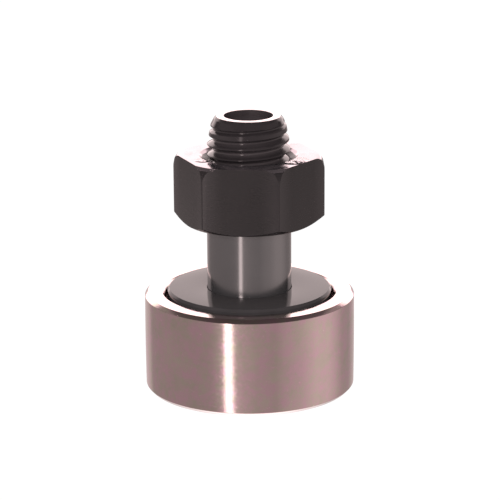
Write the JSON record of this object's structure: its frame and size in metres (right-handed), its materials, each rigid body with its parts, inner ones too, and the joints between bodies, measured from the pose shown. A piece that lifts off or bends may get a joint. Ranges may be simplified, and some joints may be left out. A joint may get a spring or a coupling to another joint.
{
  "type": "cam follower",
  "caption": "Stud-type cam follower: thick ground outer ring on needle rollers, round a stud with a plain shank, a threaded end and a hexagon nut.",
  "frame": {"origin": "centre of the head's flat end face, on the stud's axis", "axes": "+Z along the stud from the head towards the threaded end; -Y is the side seen in the picture"},
  "size_m": [0.03, 0.03, 0.04],
  "materials": {
    "stud_steel": "hardened and ground shank, dark oxide on the thread",
    "turned_steel": "fine turned",
    "ground_steel": "ground, satin, with a slight lustre",
    "needle_steel": "superfinished",
    "cage_steel": "pressed sheet steel, matt",
    "seal_polymer": "moulded, matt black",
    "blackened_steel": "black oxide, satin"
  },
  "bodies": {
    "stud": {"stud": "stud_steel", "closing_plug": "turned_steel", "end_washer": "turned_steel"},
    "roller_ring": {"outer_ring": "ground_steel", "seal_ring_head_side": "seal_polymer", "seal_ring_washer_side": "seal_polymer"},
    "needle_cage": {"needle_cage": "cage_steel"},
    "needle_roller_01": {"needle_roller_01": "needle_steel"},
    "needle_roller_02": {"needle_roller_02": "needle_steel"},
    "needle_roller_03": {"needle_roller_03": "needle_steel"},
    "needle_roller_04": {"needle_roller_04": "needle_steel"},
    "needle_roller_05": {"needle_roller_05": "needle_steel"},
    "needle_roller_06": {"needle_roller_06": "needle_steel"},
    "needle_roller_07": {"needle_roller_07": "needle_steel"},
    "needle_roller_08": {"needle_roller_08": "needle_steel"},
    "needle_roller_09": {"needle_roller_09": "needle_steel"},
    "needle_roller_10": {"needle_roller_10": "needle_steel"},
    "needle_roller_11": {"needle_roller_11": "needle_steel"},
    "needle_roller_12": {"needle_roller_12": "needle_steel"},
    "needle_roller_13": {"needle_roller_13": "needle_steel"},
    "needle_roller_14": {"needle_roller_14": "needle_steel"},
    "hex_nut": {"hex_nut": "blackened_steel"}
  },
  "joints": [
    {"name": "ring_spin", "type": "hinge", "parent": "stud", "child": "roller_ring", "pos_m": [0, 0, 0.0075], "axis": [0, 0, 1], "continuous": true},
    {"name": "cage_spin", "type": "hinge", "parent": "stud", "child": "needle_cage", "pos_m": [0, 0, 0.0075], "axis": [0, 0, 1], "continuous": true},
    {"name": "needle_spin_01", "type": "hinge", "parent": "needle_cage", "child": "needle_roller_01", "pos_m": [0.00853, 0.00195, 0.0075], "axis": [0, 0, 1], "continuous": true},
    {"name": "needle_spin_02", "type": "hinge", "parent": "needle_cage", "child": "needle_roller_02", "pos_m": [0.00684, 0.00546, 0.0075], "axis": [0, 0, 1], "continuous": true},
    {"name": "needle_spin_03", "type": "hinge", "parent": "needle_cage", "child": "needle_roller_03", "pos_m": [0.0038, 0.00788, 0.0075], "axis": [0, 0, 1], "continuous": true},
    {"name": "needle_spin_04", "type": "hinge", "parent": "needle_cage", "child": "needle_roller_04", "pos_m": [0, 0.00875, 0.0075], "axis": [0, 0, 1], "continuous": true},
    {"name": "needle_spin_05", "type": "hinge", "parent": "needle_cage", "child": "needle_roller_05", "pos_m": [-0.0038, 0.00788, 0.0075], "axis": [0, 0, 1], "continuous": true},
    {"name": "needle_spin_06", "type": "hinge", "parent": "needle_cage", "child": "needle_roller_06", "pos_m": [-0.00684, 0.00546, 0.0075], "axis": [0, 0, 1], "continuous": true},
    {"name": "needle_spin_07", "type": "hinge", "parent": "needle_cage", "child": "needle_roller_07", "pos_m": [-0.00853, 0.00195, 0.0075], "axis": [0, 0, 1], "continuous": true},
    {"name": "needle_spin_08", "type": "hinge", "parent": "needle_cage", "child": "needle_roller_08", "pos_m": [-0.00853, -0.00195, 0.0075], "axis": [0, 0, 1], "continuous": true},
    {"name": "needle_spin_09", "type": "hinge", "parent": "needle_cage", "child": "needle_roller_09", "pos_m": [-0.00684, -0.00546, 0.0075], "axis": [0, 0, 1], "continuous": true},
    {"name": "needle_spin_10", "type": "hinge", "parent": "needle_cage", "child": "needle_roller_10", "pos_m": [-0.0038, -0.00788, 0.0075], "axis": [0, 0, 1], "continuous": true},
    {"name": "needle_spin_11", "type": "hinge", "parent": "needle_cage", "child": "needle_roller_11", "pos_m": [0, -0.00875, 0.0075], "axis": [0, 0, 1], "continuous": true},
    {"name": "needle_spin_12", "type": "hinge", "parent": "needle_cage", "child": "needle_roller_12", "pos_m": [0.0038, -0.00788, 0.0075], "axis": [0, 0, 1], "continuous": true},
    {"name": "needle_spin_13", "type": "hinge", "parent": "needle_cage", "child": "needle_roller_13", "pos_m": [0.00684, -0.00546, 0.0075], "axis": [0, 0, 1], "continuous": true},
    {"name": "needle_spin_14", "type": "hinge", "parent": "needle_cage", "child": "needle_roller_14", "pos_m": [0.00853, -0.00195, 0.0075], "axis": [0, 0, 1], "continuous": true},
    {"name": "nut_travel", "type": "slide", "parent": "stud", "child": "hex_nut", "axis": [0, 0, 1], "range_m": [0, 0.0155]}
  ],
  "couplings": [
    {"joint": "cage_spin", "follows": "ring_spin", "ratio": 0.57143},
    {"joint": "needle_spin_01", "follows": "ring_spin", "ratio": 3.4286},
    {"joint": "needle_spin_02", "follows": "ring_spin", "ratio": 3.4286},
    {"joint": "needle_spin_03", "follows": "ring_spin", "ratio": 3.4286},
    {"joint": "needle_spin_04", "follows": "ring_spin", "ratio": 3.4286},
    {"joint": "needle_spin_05", "follows": "ring_spin", "ratio": 3.4286},
    {"joint": "needle_spin_06", "follows": "ring_spin", "ratio": 3.4286},
    {"joint": "needle_spin_07", "follows": "ring_spin", "ratio": 3.4286},
    {"joint": "needle_spin_08", "follows": "ring_spin", "ratio": 3.4286},
    {"joint": "needle_spin_09", "follows": "ring_spin", "ratio": 3.4286},
    {"joint": "needle_spin_10", "follows": "ring_spin", "ratio": 3.4286},
    {"joint": "needle_spin_11", "follows": "ring_spin", "ratio": 3.4286},
    {"joint": "needle_spin_12", "follows": "ring_spin", "ratio": 3.4286},
    {"joint": "needle_spin_13", "follows": "ring_spin", "ratio": 3.4286},
    {"joint": "needle_spin_14", "follows": "ring_spin", "ratio": 3.4286}
  ]
}
